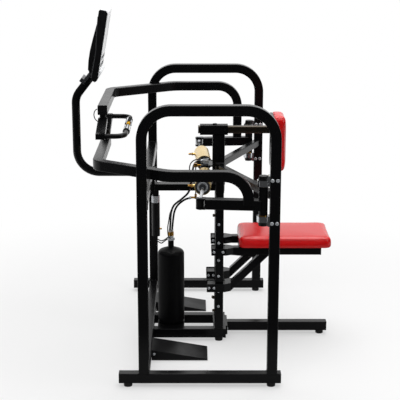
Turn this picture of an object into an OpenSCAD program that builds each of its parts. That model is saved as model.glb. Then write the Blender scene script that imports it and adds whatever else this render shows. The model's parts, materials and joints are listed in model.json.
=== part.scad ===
// Pneumatic seated row machine.
// Two welded side frames carry a seat that slides on two posts, a chest pad that
// slides through a sleeve, and two crossing arms that push on air cylinders.
// X runs from the display to the seat, Y from the near frame to the far frame, Z up.

/* [Frame] */
// Side of the square frame tube
tube_w = 50.8; // [48:0.4:54]
// Wall of the frame tube
tube_wall = 3; // [2:0.5:4]
// Distance between the middles of the near and far frames
frame_gap = 1442; // [1420:2:1480]
// Length of a base rail
rail_len = 798; // [780:2:840]
// Overall height of the hoops
hoop_h = 1415; // [1400:5:1440]
// Distance between the middles of a hoop's two uprights
hoop_span = 636; // [630:2:646]
// Bend radius of the hoop corners, at the middle of the tube
hoop_r = 140; // [110:5:150]
// Height of the upper crossbar at its middle
crossbar_z = 925; // [915:1:935]
// Height of a rubber foot
foot_h = 20.5; // [16:0.5:24]
// Diameter of a rubber foot
foot_d = 46; // [36:1:48]
// Distance between the middles of the two floor beams
beam_gap = 220; // [212:2:236]
// Reach of the stabiliser's end behind the front uprights
rear_reach = 989; // [950:1:1010]
// Height of the far strut between its post and the rear upright
strut_z = 944; // [938:1:950]
// How much higher the near strut sits
strut_step = 30; // [24:1:32]
// Side of the square strut tube
strut_w = 38; // [34:1:44]

/* [Foot plates] */
// Length of a foot plate
foot_plate_len = 295; // [270:5:320]
// Height of a foot plate at its raised end
foot_plate_h = 61; // [50:1:68]
// Nearest edge of the near foot plate, before the centre plane
near_plate_y = 413; // [400:1:440]
// Nearest edge of the far foot plate, behind the centre plane
far_plate_y = 329; // [300:1:350]

/* [Arms] */
// Diameter of the pivot tube
pivot_d = 44; // [40:1:48]
// Diameter of the pivot shaft
shaft_d = 20; // [16:1:24]
// Height of the near lever at its middle
near_lever_z = 932; // [926:1:936]
// Height of the far lever at its middle
far_lever_z = 952; // [946:1:956]
// Height of the near arm's upper tube at its middle
near_arm_z = 1074; // [1070:1:1080]
// Height of the far arm's upper tube at its middle
far_arm_z = 1284; // [1278:1:1290]
// Bend radius of the riser, at the middle of the tube
riser_r = 116; // [100:2:118]
// Distance that an arm's end crosses beyond the centre plane
arm_cross = 116; // [100:2:130]
// Diameter of the handle tube
grip_d = 26; // [24:1:30]
// Diameter of the button housing at the handle's end
button_housing_d = 38; // [34:1:42]

/* [Air cylinders] */
// Outer diameter of a barrel
barrel_d = 84; // [78:1:88]
// Wall of a barrel
barrel_wall = 4; // [3:0.5:6]
// Diameter of a piston rod
rod_d = 16; // [12:1:20]
// Diameter of the air tank
tank_d = 146; // [130:2:156]
// Height of the air tank's shoulder above the floor
tank_top = 490; // [460:5:500]

/* [Seat and chest pad] */
// Side of the square tube of the seat posts and seat arms
post_w = 44.5; // [42:0.5:46]
// Height of the post tops
post_top = 995; // [985:1:1010]
// Width of the seat pad
seat_w = 334; // [310:2:350]
// Length of the seat pad
seat_len = 498; // [460:2:498]
// Thickness of the seat pad at its edge
seat_t = 58; // [50:1:62]
// Height of the seat arms at their middle
seat_arm_z = 517.5; // [510:0.5:524]
// Height of the seat arm tube
seat_arm_h = 42; // [38:1:46]
// Side of the square seat brace
brace_w = 40; // [36:1:42]
// Width of the chest pad
chest_w = 200; // [180:2:220]
// Height of the chest pad
chest_h = 302; // [280:2:310]
// Thickness of the chest pad at its edge
chest_t = 60; // [50:1:64]
// Side of the square chest slide
slide_w = 38; // [34:0.5:40]

/* [Display] */
// Diameter of the display post
display_post_d = 44; // [38:1:48]
// Reach of the display post in front of the front uprights
display_reach = 381; // [360:1:400]
// Width of the display
display_w = 260; // [240:5:300]
// Lean of the display towards the user
display_lean = 9.8; // [5:0.1:14]

/* [Hidden] */
$fn = 64;

frame_colour = "#141416";
red_vinyl = "#b01018";
zinc = "#b9bcc0";
bare_metal = "#9a9da2";
chrome = "#d6d8dc";
gold = "#c89a3c";
brass = "#a9782e";
rubber = "#0c0c0d";

corner_r = 4;
knuckle = 0.6;
bend_lap = 3;
bolt_d = 10;
post_screw_z = [201, 288, 375, 465, 562, 666];
running_gap = 0.05;

// Main lines of the frame, with X = 0 midway between the display post and the stabiliser's end
frame_y = frame_gap / 2;
front_x = (display_reach + display_post_d / 2 - rear_reach) / 2;
rear_x = front_x + hoop_span;
rail_z = foot_h + tube_w / 2;
rail_top = foot_h + tube_w;
rail_x0 = front_x - 121;
inner_y = frame_y - tube_w / 2;
beam_y = beam_gap / 2;
beam_end = front_x + 412;
flange_t = 12;
post_x = front_x + 386;
column_x = front_x + 381;
column_w = 66;
spine_w = 64;
spine_h = 37;
spine_z = 846.5;
spine_top = spine_z + spine_h / 2;
spine_plate_t = 12;

// Arm pivots and levers, for the near side
pivot_x = rear_x - 56.5;
pivot_low = 883;
pivot_high = 1023;
bush_flange = 2.8;
bush_d = 30;
bracket_h = 51;
collar_h = 30;
collar_d = 62;
cap_d = 50;
cap_h = 20;
bracket_bolt_z = [845, 1056];
bracket_z = [pivot_low - 3 - bracket_h, pivot_high + 3];
bracket_bolt_x = [rear_x - 15, rear_x + 10];
tongue_t = 12;
lever_pin = [-302, 31];
lever_dir = atan2(lever_pin[1], lever_pin[0]);
lever_len = norm(lever_pin);
lever_end = lever_len - 23;
pin_d = 12;
eye_t = 34;
ear_t = 9;
plug_t = 4;
riser_x = -70.5;
arm_x = front_x - 230.5;
arm_path = [
    [riser_x - riser_r, 0],
    [riser_x - riser_r - 266, 0],
    [arm_x - pivot_x, frame_y - 475],
    [arm_x - pivot_x, frame_y + arm_cross - 4]
];
arm_bends = [116, 75];
swivel_y = arm_cross - 24;
stub_d = 16;
neck_h = 18;
boss_h = 26;
bar_w = 48;
grip_x = 125;
button_tip = 74;
handle_z = (near_arm_z + far_arm_z) / 2;
boss_top = (far_arm_z - near_arm_z) / 2 - tube_w / 2 - neck_h - 0.3;

// Air cylinders, each measured along its own axis from the lever pin
tail_x = front_x + 308;
tail_y = 40;
tail_pin_d = 10;
tail_bore = 28;
cylinder_run = [tail_x - pivot_x - lever_pin[0], frame_y - lever_pin[1] - tail_y];
cylinder_len = norm(cylinder_run);
cylinder_dir = atan2(cylinder_run[1], cylinder_run[0]);
barrel_front = 320;
barrel_back = 590;
gland_len = 20;
mount_t = 8;
mount_low = near_lever_z - 24;
mount_high = far_lever_z + 16;
mount_left = tail_x - 22;
stem_x = tail_x - 50;
stem_y = -tail_y;
control_x = front_x + 40.5;
control_d = 44;
nipple_z = 607;
nipple_d = 9;

// Seat, chest pad and display
seat_plate_t = 3.5;
fork_gap = 74;
fork_t = 6;
fork_h = 38;
low_fork_z = 314;
low_fork_h = 46;
fork_back = 31;
sleeve_z = 1160;
sleeve_w = 53;
sleeve_x0 = front_x + 281;
sleeve_len = 149;
slide_x0 = sleeve_x0 - 10;
slide_len = 390;
board_t = 12;
chest_z = 1095;
lever_pivot = [post_x + 41, 470];
display_x = front_x - display_reach;
display_bend = 38;
tip_len = 132;

// Hose routes, point by point, with X measured from the front uprights
hose_d = 11;
thin_hose_d = 6;
hose_routes = [
    [[116, -6, 588], [120, -14, 640], [124, -26, 700], [140, -40, 748], [180, -50, 785],
     [217, -53, 822], [233, -53, 870], [240, -46, 925], [247, -16, 962], [265, 6, 982], [298, 12, 986]],
    [[128, 6, 588], [134, 2, 650], [142, -10, 705], [160, -26, 745], [195, -38, 778], [232, -40, 793]]
];
thin_hose_routes = [
    [[118, -13, 561], [114, -25, 563], [109, -33, 573], [106, -35, 592], [106, -33, 625], [112, -36, 662],
     [119, -44, 705], [139, -56, 750], [179, -64, 785], [217, -67, 822], [229, -64, 870], [227, -46, 925],
     [225, -33, 957], [233, -30, 982], [251, -30, 997], [275, -30, 1003], [301, -30, 1004],
     [323, -30, 1003], [337, -29, 999], [349, -28, 994]],
    [[258, -40, 811], [258, -41, 860], [258, -41, 910], [258, -40, 963]],
    [[49, -7, 548], [69, -14, 541], [87, -12, 546], [109, -4, 560]],
    [[49, 7, 532], [69, 4, 522], [87, 4, 534], [109, 6, 549]]
];
// Loop of cable from the far arm's end to its handle, with X measured from the arm's end
cable_d = 5;
cable_route = [
    [-29, -92, 1286], [-36.5, -93, 1282], [-43.5, -94, 1272], [-46.5, -96, 1258], [-44.5, -98, 1244],
    [-38.5, -99, 1232], [-30.5, -100, 1224], [-21.5, -100, 1220]
];

function round_rect(w, h, r) = [
    for (q = [0:3]) for (a = [0, 30, 60, 90])
        [(q == 0 || q == 3 ? 1 : -1) * (w / 2 - r) + r * cos(90 * q + a),
         (q < 2 ? 1 : -1) * (h / 2 - r) + r * sin(90 * q + a)]
];
function ring(d) = [for (i = [0:15]) d / 2 * [cos(22.5 * i), sin(22.5 * i)]];
function unit(v) = v / norm(v);
function left_of(a, b) = let (d = unit(b - a)) [-d[1], d[0]];
// Points of the bend at b, between the runs from a and to c
function bend_centre(a, b, c, r) = let (
    d = unit(b - a),
    t = r * tan(acos(d * unit(c - b)) / 2),
    side = sign(d[0] * (c - b)[1] - d[1] * (c - b)[0])
) b - t * d + side * r * left_of(a, b);
function bend_points(a, b, c, r) = let (
    centre = bend_centre(a, b, c, r),
    out = b - centre,
    turn = acos(unit(b - a) * unit(c - b)),
    middle = atan2(out[1], out[0]),
    side = sign((b - a)[0] * (c - b)[1] - (b - a)[1] * (c - b)[0])
) [for (k = [0:6]) let (t = middle + side * turn * (k / 6 - 0.5)) centre + r * [cos(t), sin(t)]];
function mitre(path, i, h) =
    i == 0 ? h * left_of(path[0], path[1]) :
    i == len(path) - 1 ? h * left_of(path[i - 1], path[i]) :
    let (a = left_of(path[i - 1], path[i]), b = left_of(path[i], path[i + 1])) h * (a + b) / (1 + a * b);

module tube_section(w, h, wall = tube_wall) {
    difference() {
        polygon(round_rect(w, h, corner_r));
        polygon(round_rect(w - 2 * wall, h - 2 * wall, max(0.6, corner_r - wall)));
    }
}
module bar_x(x0, x1, w, r) translate([x0, 0, 0]) rotate([90, 0, 90]) linear_extrude(x1 - x0)
    polygon(round_rect(w, w, r));
module tube_x(x0, x1, y, z, w, h) translate([x0, y, z]) rotate([90, 0, 90]) linear_extrude(x1 - x0)
    tube_section(w, h);
module tube_y(y0, y1, x, z, w, h) translate([x, y0, z]) rotate([-90, 0, 0]) linear_extrude(y1 - y0)
    tube_section(w, h);
module tube_z(z0, z1, x, y, w, h) translate([x, y, z0]) linear_extrude(z1 - z0) tube_section(w, h);
module along_x(x0, x1, d) translate([x0, 0, 0]) rotate([0, 90, 0]) cylinder(h = x1 - x0, d = d);
module along_y(y0, y1, d) translate([0, y0, 0]) rotate([-90, 0, 0]) cylinder(h = y1 - y0, d = d);
module both_sides() {
    children();
    mirror([0, 1, 0]) children();
}
module near_pivot() translate([pivot_x, -frame_y, 0]) children();
module far_pivot() translate([pivot_x, frame_y, 0]) mirror([0, 1, 0]) children();

// Square bar along a plan path, with a bend at each corner that stands a little proud of the runs
module path_bar(path, radii, w, r) {
    last = len(path) - 1;
    for (i = [0:last - 1]) {
        run = path[i + 1] - path[i];
        back = i == 0 ? 0 : bend_reach(path, i, radii[i - 1]) - bend_lap;
        front = i == last - 1 ? 0 : bend_reach(path, i + 1, radii[i]) - bend_lap;
        translate(path[i]) rotate([0, 0, atan2(run[1], run[0])]) bar_x(back, norm(run) - front, w, r);
    }
    for (i = [1:last - 1]) {
        after = path[i + 1] - path[i];
        translate(bend_centre(path[i - 1], path[i], path[i + 1], radii[i - 1]))
            rotate([0, 0, atan2(after[1], after[0]) + 90])
                rotate_extrude(angle = bend_angle(path, i))
                    translate([radii[i - 1], 0]) polygon(round_rect(w + knuckle, w + knuckle, r));
    }
}
function bend_angle(path, i) = acos(unit(path[i] - path[i - 1]) * unit(path[i + 1] - path[i]));
function bend_reach(path, i, r) = r * tan(bend_angle(path, i) / 2);

module button_head(d, h) cylinder(h = h, d1 = d, d2 = 0.7 * d);
module through_bolt_y(y0, y1, d, head) {
    along_y(y0, y1, d);
    translate([0, y1, 0]) rotate([-90, 0, 0]) button_head(head, 5);
    translate([0, y0, 0]) rotate([90, 0, 0]) button_head(head, 5);
}

// Cushion with a crowned face, swollen sides and rounded corners; its back lies on z = 0
module cushion(l, w, t, crown) {
    corner = 30;
    rows = [[0, 5], [0.08 * t, 1.5], [0.25 * t, 0], [0.6 * t, 0], [0.8 * t, 1.5], [0.93 * t, 5], [t, 12]];
    spots = 32;
    rim = [for (row = rows)
        [for (p = ring_points(l - 2 * row[1], w - 2 * row[1], corner, spots)) [p[0], p[1], row[0]]]];
    dome = [for (k = [0.8, 0.55, 0.28])
        [for (p = ring_points(k * (l - 24), k * (w - 24), k * corner, spots))
        [p[0], p[1], t + crown * (1 - k * k)]]];
    rings = concat(rim, dome);
    n = len(rings);
    points = concat([for (ring = rings) each ring], [[0, 0, 0], [0, 0, t + crown]]);
    polyhedron(points, concat(
        [for (i = [0:n - 2]) for (j = [0:spots - 1])
            each let (k = (j + 1) % spots, a = i * spots, b = a + spots)
            [[a + j, b + j, b + k], [a + j, b + k, a + k]]],
        [for (j = [0:spots - 1]) [n * spots, j, (j + 1) % spots]],
        [for (j = [0:spots - 1]) [n * spots + 1, (n - 1) * spots + (j + 1) % spots, (n - 1) * spots + j]]
    ));
}
function ring_points(l, w, r, spots) = [
    for (q = [0:3]) for (a = [0:spots / 4 - 1]) let (t = 90 * q + 90 * a / (spots / 4 - 1))
        [(q == 0 || q == 3 ? 1 : -1) * (l / 2 - r) + r * cos(t),
            (q < 2 ? 1 : -1) * (w / 2 - r) + r * sin(t)]
];

// Hose swept along its route as one closed skin
module hose(route, d) {
    sides = 8;
    n = len(route);
    rings = [for (i = [0:n - 1]) let (
        t = unit(route[min(i + 1, n - 1)] - route[max(i - 1, 0)]),
        u = unit(cross(t, [0, 1, 0])),
        v = cross(u, t)
    ) for (j = [0:sides - 1]) route[i] + d / 2 * (u * cos(360 * j / sides) + v * sin(360 * j / sides))];
    polyhedron(rings, concat(
        [[for (j = [0:sides - 1]) j], [for (j = [sides - 1:-1:0]) (n - 1) * sides + j]],
        [for (i = [0:n - 2]) for (j = [0:sides - 1])
            each let (k = (j + 1) % sides, a = i * sides, b = a + sides)
            [[a + j, b + k, a + k], [a + j, b + j, b + k]]]
    ));
}

module base_rails() {
    color(frame_colour) both_sides()
        tube_x(rail_x0, rail_x0 + rail_len, -frame_y, rail_z, tube_w, tube_w);
}

module hoop_bar(w, r, drop) {
    bend_z = hoop_h - tube_w / 2 - hoop_r;
    for (x = [front_x, rear_x]) translate([x, 0, rail_top - drop])
        linear_extrude(bend_z - rail_top + drop) polygon(round_rect(w, w, r));
    translate([front_x + hoop_r, 0, bend_z]) rotate([90, 0, 0]) rotate([0, 0, 90])
        rotate_extrude(angle = 90)
        translate([hoop_r, 0]) polygon(round_rect(w, w, r));
    translate([rear_x - hoop_r, 0, bend_z]) rotate([90, 0, 0]) rotate_extrude(angle = 90)
        translate([hoop_r, 0]) polygon(round_rect(w, w, r));
    translate([front_x + hoop_r, 0, bend_z + hoop_r]) rotate([90, 0, 90])
        linear_extrude(hoop_span - 2 * hoop_r) polygon(round_rect(w, w, r));
}
module hoop() {
    difference() {
        hoop_bar(tube_w, corner_r, 0);
        hoop_bar(tube_w - 2 * tube_wall, max(0.6, corner_r - tube_wall), 1);
        for (z = bracket_bolt_z) {
            translate([rear_x - tube_w / 2 - 1, -tongue_t / 2, z - 16])
                cube([tube_wall + 2, tongue_t, 32]);
            for (x = bracket_bolt_x) translate([x, 0, z]) along_y(-tube_w, tube_w, bolt_d);
        }
    }
}
module near_hoop() color(frame_colour) translate([0, -frame_y, 0]) hoop();
module far_hoop() color(frame_colour) translate([0, frame_y, 0]) hoop();

module front_crossbars() {
    color(frame_colour) for (z = [rail_z, crossbar_z])
        tube_y(-inner_y, inner_y, front_x, z, tube_w, tube_w);
}

module floor_beams() {
    inside = beam_y - tube_w / 2;
    color(frame_colour) {
        both_sides() tube_x(front_x + tube_w / 2, beam_end, -beam_y, rail_z, tube_w, tube_w);
        translate([front_x + 122 - tank_d / 2, -inside, rail_top - 6]) cube([tank_d, 2 * inside, 6]);
        translate([post_x - 30, -inside, rail_top - 8]) cube([60, 2 * inside, 8]);
        difference() {
            translate([beam_end, -beam_y - tube_w / 2, foot_h])
                cube([flange_t, beam_gap + tube_w, tube_w]);
            for (s = [-1, 1]) translate([0, s * 60, rail_z])
                along_x(beam_end - 1, beam_end + flange_t + 1, bolt_d);
        }
    }
}

module rear_stabiliser() {
    x0 = beam_end + flange_t;
    color(frame_colour) {
        tube_x(x0 + 10, front_x + rear_reach - 4, 0, rail_z, tube_w, tube_w);
        difference() {
            translate([x0, -85, foot_h]) cube([10, 170, tube_w]);
            for (s = [-1, 1]) translate([0, s * 60, rail_z]) along_x(x0 - 1, x0 + 11, bolt_d);
        }
    }
}

module frame_bolts() {
    color(zinc) {
        both_sides() for (z = bracket_bolt_z) for (x = bracket_bolt_x)
            translate([x, -frame_y, z]) through_bolt_y(-tube_w / 2, tube_w / 2, bolt_d, 18);
        both_sides() translate([0, -60, rail_z]) {
            along_x(beam_end, beam_end + flange_t + 10, bolt_d);
            translate([beam_end + flange_t + 10, 0, 0]) rotate([0, 90, 0]) button_head(18, 6);
            translate([beam_end, 0, 0]) rotate([0, -90, 0]) button_head(18, 6);
        }
        both_sides() for (z = post_screw_z) translate([post_x - 4, -beam_y - post_w / 2, z])
            rotate([90, 0, 0]) button_head(12, 3);
        both_sides() for (z = [171, 246, 712]) translate([post_x - post_w / 2 - 15, -beam_y, z])
            along_x(0, 15, 16);
    }
}

module floor_feet() {
    color(rubber) {
        both_sides() for (x = [front_x - 80, front_x + 633]) translate([x, -frame_y, 0])
            cylinder(h = foot_h, d1 = 0.9 * foot_d, d2 = foot_d);
        both_sides() translate([post_x, -beam_y, 0]) cylinder(h = foot_h, d1 = 0.9 * foot_d, d2 = foot_d);
        translate([front_x + rear_reach - 37, 0, 0]) cylinder(h = foot_h, d1 = 0.9 * foot_d, d2 = foot_d);
    }
}

module tube_plug(w) {
    linear_extrude(4) polygon(round_rect(w, w, corner_r));
    inside = w - 2 * tube_wall - 0.6;
    translate([0, 0, -14]) linear_extrude(14) polygon(round_rect(inside, inside, 1));
}
module tube_caps() {
    color(rubber) {
        both_sides() {
            translate([rail_x0 + rail_len, -frame_y, rail_z]) rotate([0, 90, 0]) tube_plug(tube_w);
            translate([rail_x0, -frame_y, rail_z]) rotate([0, -90, 0]) tube_plug(tube_w);
            translate([post_x, -beam_y, post_top]) tube_plug(post_w);
        }
        translate([front_x + rear_reach - 4, 0, rail_z]) rotate([0, 90, 0]) tube_plug(tube_w);
    }
}

module seat_posts() {
    color(frame_colour) both_sides() tube_z(rail_top, post_top, post_x, -beam_y, post_w, post_w);
}

module brake_bar() {
    color(bare_metal) translate([post_x - 12, -8, rail_top])
        cube([22, 16, spine_z - spine_h / 2 - rail_top]);
}

module upper_spine() {
    bridge_end = beam_y - post_w / 2;
    color(frame_colour) {
        tube_x(front_x + tube_w / 2 + spine_plate_t, column_x + column_w / 2, 0, spine_z, spine_w,
            spine_h);
        translate([front_x + tube_w / 2, -spine_w / 2, spine_z - spine_h / 2])
            cube([spine_plate_t, spine_w, crossbar_z + tube_w / 2 - spine_z + spine_h / 2]);
        tube_y(-bridge_end, -spine_w / 2, post_x, spine_z, post_w, spine_h);
        tube_y(spine_w / 2, bridge_end, post_x, spine_z, post_w, spine_h);
    }
}

module chest_column() {
    bore = slide_w + 0.4;
    color(frame_colour) {
        tube_z(spine_top, sleeve_z - sleeve_w / 2, column_x, 0, column_w, spine_w);
        difference() {
            translate([sleeve_x0, 0, sleeve_z]) rotate([90, 0, 90]) linear_extrude(sleeve_len)
                polygon(round_rect(sleeve_w, sleeve_w, corner_r));
            translate([sleeve_x0 - 1, -bore / 2, sleeve_z - bore / 2]) cube([sleeve_len + 2, bore, bore]);
            translate([sleeve_x0 + 80, 0, sleeve_z]) cylinder(h = sleeve_w, d = 10 + 2 * running_gap);
        }
    }
}

module brace_strut(z) {
    run = [rear_x - post_x, frame_y - beam_y];
    start_y = beam_y + post_w / 2;
    intersection() {
        translate([post_x, -beam_y, 0]) rotate([0, 0, -atan2(run[1], run[0])])
            tube_x(0, norm(run), 0, z, strut_w, strut_w);
        translate([post_x - tube_w, -inner_y, z - tube_w])
            cube([hoop_span, inner_y - start_y, 2 * tube_w]);
    }
}
module brace_struts() {
    color(frame_colour) {
        brace_strut(strut_z + strut_step);
        mirror([0, 1, 0]) brace_strut(strut_z);
    }
}

module foot_plate(y0, w) {
    side = [[0, 4], [foot_plate_len, 4], [foot_plate_len, 11], [0, foot_plate_h]];
    hollow = [[6, 3], [foot_plate_len - 20, 3], [foot_plate_len - 20, 9], [6, foot_plate_h - 5]];
    translate([front_x + tube_w / 2, y0, 0]) difference() {
        translate([0, w, 0]) rotate([90, 0, 0]) linear_extrude(w) polygon(side);
        translate([0, w - 4, 0]) rotate([90, 0, 0]) linear_extrude(w - 8) polygon(hollow);
    }
}
module foot_plates() {
    color("#2a2a2c") {
        foot_plate(-near_plate_y, 180);
        foot_plate(far_plate_y, 175);
    }
}

module pivot_bracket(z0, bolt_z, side) {
    reach = rear_x - tube_w / 2 - pivot_x;
    difference() {
        union() {
            translate([0, 0, side > 0 ? z0 : z0 + bracket_h - collar_h])
                cylinder(h = collar_h, d = collar_d);
            translate([0, 21, z0]) rotate([90, 0, 0]) linear_extrude(42) polygon(side > 0 ?
                [[0, 0], [reach, 0], [reach, bracket_h], [reach - 8, bracket_h], [0, collar_h]] :
                [[0, bracket_h], [0, bracket_h - collar_h], [reach - 8, 0], [reach, 0],
                    [reach, bracket_h]]);
            translate([reach, -tongue_t / 2, bolt_z - 16]) cube([tube_w - tube_wall - 2, tongue_t, 32]);
        }
        translate([0, 0, z0 - 1]) cylinder(h = bracket_h + 2, d = shaft_d);
        translate([0, 0, side > 0 ? z0 + collar_h : z0 - 1])
            cylinder(h = bracket_h - collar_h + 1, d = cap_d + 2);
        for (x = bracket_bolt_x) translate([x - pivot_x, 0, bolt_z]) along_y(-30, 30, bolt_d);
    }
}
module pivot_brackets() {
    color(bare_metal) both_sides() near_pivot() for (k = [0, 1])
        pivot_bracket(bracket_z[k], bracket_bolt_z[k], 2 * k - 1);
}

module pivot_shafts() {
    low = bracket_z[0] + bracket_h - collar_h;
    high = bracket_z[1] + collar_h;
    color(rubber) both_sides() near_pivot() {
        translate([0, 0, low]) cylinder(h = high - low, d = shaft_d);
        translate([0, 0, high]) cylinder(h = cap_h, d1 = cap_d, d2 = cap_d - 8);
        translate([0, 0, low - cap_h]) cylinder(h = cap_h, d1 = cap_d - 8, d2 = cap_d);
    }
}

// Lever, riser and upper tube of an arm as solid bars
module arm_bars(lever_z, upper_z) {
    rotate([0, 0, lever_dir]) translate([0, 0, lever_z]) bar_x(8, lever_end - plug_t, tube_w, corner_r);
    translate([riser_x, 0, lever_z]) linear_extrude(upper_z - riser_r - lever_z)
        polygon(round_rect(tube_w, tube_w, corner_r));
    translate([riser_x - riser_r, 0, upper_z - riser_r]) rotate([90, 0, 0]) rotate_extrude(angle = 90)
        translate([riser_r, 0]) polygon(round_rect(tube_w, tube_w, corner_r));
    translate([0, 0, upper_z]) path_bar(arm_path, arm_bends, tube_w, corner_r);
}
// The hollow inside them, which reaches past the open end
module arm_hollow(lever_z, upper_z) {
    w = tube_w - 2 * tube_wall;
    path = concat(
        [arm_path[0]],
        bend_points(arm_path[0], arm_path[1], arm_path[2], arm_bends[0]),
        bend_points(arm_path[1], arm_path[2], arm_path[3], arm_bends[1]),
        [arm_path[3] + [0, 1]]
    );
    last = len(path) - 1;
    rotate([0, 0, lever_dir]) translate([pivot_d / 2, -w / 2, lever_z - w / 2])
        cube([lever_end - plug_t - pivot_d / 2, w, w]);
    translate([riser_x - w / 2, -w / 2, lever_z]) cube([w, w, upper_z - riser_r - lever_z]);
    translate([riser_x - riser_r, 0, upper_z - riser_r]) rotate([90, 0, 0]) rotate_extrude(angle = 90)
        translate([riser_r, 0]) square(w, center = true);
    translate([0, 0, upper_z]) linear_extrude(w, center = true) polygon(concat(
        [for (i = [0:last]) path[i] + mitre(path, i, w / 2)],
        [for (i = [last:-1:0]) path[i] - mitre(path, i, w / 2)]
    ));
}
module arm(lever_z, upper_z, stub_side) {
    difference() {
        union() {
            difference() {
                union() {
                    translate([0, 0, pivot_low]) cylinder(h = pivot_high - pivot_low, d = pivot_d);
                    arm_bars(lever_z, upper_z);
                }
                arm_hollow(lever_z, upper_z);
            }
            rotate([0, 0, lever_dir]) {
                translate([lever_end - plug_t, -tube_w / 2, lever_z - tube_w / 2])
                    cube([plug_t, tube_w, tube_w]);
                for (z = [lever_z - eye_t / 2 - 1 - ear_t, lever_z + eye_t / 2 + 1]) {
                    translate([lever_end - plug_t, -20, z])
                        cube([lever_len - lever_end + plug_t, 40, ear_t]);
                    translate([lever_len, 0, z]) cylinder(h = ear_t, d = 40);
                }
            }
            translate([arm_x - pivot_x, frame_y + swivel_y, upper_z])
                rotate([stub_side < 0 ? 180 : 0, 0, 0])
                translate([0, 0, tube_w / 2 - 1]) {
                    cylinder(h = neck_h + 1, d = 34);
                    cylinder(h = neck_h + boss_h + 6, d = stub_d);
                }
        }
        translate([0, 0, pivot_low - 1]) cylinder(h = pivot_high - pivot_low + 2, d = bush_d);
        rotate([0, 0, lever_dir]) translate([lever_len, 0, lever_z - 40]) cylinder(h = 80, d = pin_d);
    }
}
module near_arm() color(frame_colour) near_pivot() arm(near_lever_z, near_arm_z, 1);
module far_arm() color(frame_colour) far_pivot() arm(far_lever_z, far_arm_z, -1);

module bushes() {
    for (k = [0, 1]) translate([0, 0, k == 0 ? pivot_low : pivot_high]) rotate([180 * k, 0, 0])
        difference() {
        union() {
            cylinder(h = 30, d = bush_d);
            translate([0, 0, -bush_flange]) cylinder(h = bush_flange, d = pivot_d - 2);
        }
        translate([0, 0, -5]) cylinder(h = 40, d = shaft_d + 2 * running_gap);
    }
}
module near_bushes() color(brass) near_pivot() bushes();
module far_bushes() color(brass) far_pivot() bushes();

module arm_cap(upper_z) {
    translate([arm_x - pivot_x, frame_y + arm_cross - 4, upper_z]) rotate([-90, 0, 0])
        linear_extrude(4) polygon(round_rect(tube_w, tube_w, corner_r));
}
module near_arm_cap() color(rubber) near_pivot() arm_cap(near_arm_z);
module far_arm_cap() color(rubber) far_pivot() arm_cap(far_arm_z);

module lever_pin_at(lever_z) {
    reach = eye_t / 2 + 1 + ear_t;
    translate([lever_pin[0], lever_pin[1], lever_z]) {
        cylinder(h = 2 * reach, d = pin_d, center = true);
        translate([0, 0, reach]) cylinder(h = 4, d = 20);
        translate([0, 0, -reach - 4]) cylinder(h = 4, d = 20);
    }
}
module near_lever_pin() color(zinc) near_pivot() lever_pin_at(near_lever_z);
module far_lever_pin() color(zinc) far_pivot() lever_pin_at(far_lever_z);

module on_cylinder(lever_z) translate([lever_pin[0], lever_pin[1], lever_z])
    rotate([0, 0, cylinder_dir]) children();
module rod() {
    difference() {
        union() {
            cylinder(h = eye_t, d = 40, center = true);
            along_x(10, barrel_front + 24, rod_d);
            along_x(barrel_front + 24, barrel_front + 36, barrel_d - 2 * barrel_wall - 0.8);
        }
        cylinder(h = eye_t + 2, d = pin_d + 2 * running_gap, center = true);
    }
}
module barrel() {
    difference() {
        along_x(barrel_front, barrel_back, barrel_d);
        along_x(barrel_front - 1, barrel_back + 1, barrel_d - 2 * barrel_wall);
    }
    translate([barrel_front + 32, 0, 0]) {
        along_y(barrel_d / 2 - barrel_wall / 2, barrel_d / 2 + 10, 14);
        along_y(barrel_d / 2 + 10, barrel_d / 2 + 34, 9);
    }
}
module barrel_caps() {
    bore = barrel_d - 2 * barrel_wall;
    difference() {
        union() {
            along_x(barrel_front + 2, barrel_front + gland_len, bore);
            along_x(barrel_front - 8, barrel_front + 2, 36);
        }
        along_x(barrel_front - 10, barrel_front + gland_len + 2, rod_d + 2 * running_gap);
    }
    difference() {
        union() {
            along_x(barrel_back - 16, barrel_back, bore);
            translate([barrel_back - 1, -12, -10]) cube([cylinder_len - barrel_back, 24, 20]);
            translate([cylinder_len, 0, 0]) cylinder(h = 20, d = 48, center = true);
        }
        translate([cylinder_len, 0, 0]) cylinder(h = 30, d = tail_bore, center = true);
    }
}
module near_rod() color(chrome) near_pivot() on_cylinder(near_lever_z) rod();
module far_rod() color(chrome) far_pivot() on_cylinder(far_lever_z) rod();
module near_barrel() color(gold) near_pivot() on_cylinder(near_lever_z) barrel();
module far_barrel() color(gold) far_pivot() on_cylinder(far_lever_z) barrel();
module near_barrel_caps() color("#3a3b3e") near_pivot() on_cylinder(near_lever_z) barrel_caps();
module far_barrel_caps() color("#3a3b3e") far_pivot() on_cylinder(far_lever_z) barrel_caps();

module cylinder_mount() {
    reach = column_x - column_w / 2 - mount_left;
    color(frame_colour) {
        for (z = [mount_low, mount_high]) translate([mount_left, -62, z]) cube([reach, 124, mount_t]);
        for (s = [-1, 1]) translate([tail_x, s * tail_y, mount_low])
            cylinder(h = mount_high - mount_low + mount_t, d = tail_pin_d);
    }
}

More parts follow.
